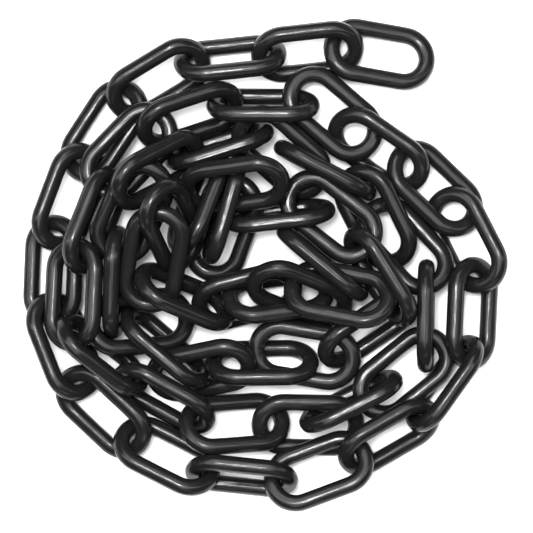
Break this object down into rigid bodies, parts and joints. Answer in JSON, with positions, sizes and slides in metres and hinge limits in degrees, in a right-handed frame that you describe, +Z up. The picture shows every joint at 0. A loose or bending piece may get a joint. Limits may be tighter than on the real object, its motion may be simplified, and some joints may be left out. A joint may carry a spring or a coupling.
{
  "type": "heap of plastic barrier chain",
  "caption": "Length of plastic barrier chain piled up in a loose round heap: long oval links of round bar, threaded through each other and lying on one another.",
  "frame": {"origin": "middle of the heap's outline seen from above, on the floor it lies on", "axes": "+Z up off the floor; +X to the right and +Y to the top of the picture, which looks straight down"},
  "size_m": [0.2392, 0.2426, 0.0533],
  "materials": {
    "chain_plastic": "black moulded polyethylene with a satin sheen"
  },
  "bodies": {
    "root": {"link_01": "chain_plastic", "link_02": "chain_plastic", "link_03": "chain_plastic", "link_04": "chain_plastic", "link_05": "chain_plastic", "link_06": "chain_plastic", "link_07": "chain_plastic", "link_08": "chain_plastic", "link_09": "chain_plastic", "link_10": "chain_plastic", "link_11": "chain_plastic", "link_12": "chain_plastic", "link_13": "chain_plastic", "link_14": "chain_plastic", "link_15": "chain_plastic", "link_16": "chain_plastic", "link_17": "chain_plastic", "link_18": "chain_plastic", "link_19": "chain_plastic", "link_20": "chain_plastic", "link_21": "chain_plastic", "link_22": "chain_plastic", "link_23": "chain_plastic", "link_24": "chain_plastic", "link_25": "chain_plastic", "link_26": "chain_plastic", "link_27": "chain_plastic", "link_28": "chain_plastic", "link_29": "chain_plastic", "link_30": "chain_plastic", "link_31": "chain_plastic", "link_32": "chain_plastic", "link_33": "chain_plastic", "link_34": "chain_plastic", "link_35": "chain_plastic", "link_36": "chain_plastic", "link_37": "chain_plastic", "link_38": "chain_plastic", "link_39": "chain_plastic", "link_40": "chain_plastic", "link_41": "chain_plastic", "link_42": "chain_plastic", "link_43": "chain_plastic", "link_44": "chain_plastic", "link_45": "chain_plastic", "link_46": "chain_plastic", "link_47": "chain_plastic", "link_48": "chain_plastic", "link_49": "chain_plastic", "link_50": "chain_plastic", "link_51": "chain_plastic", "link_52": "chain_plastic", "link_53": "chain_plastic", "link_54": "chain_plastic", "link_55": "chain_plastic", "link_56": "chain_plastic", "link_57": "chain_plastic", "link_58": "chain_plastic", "link_59": "chain_plastic", "link_60": "chain_plastic"}
  },
  "joints": []
}
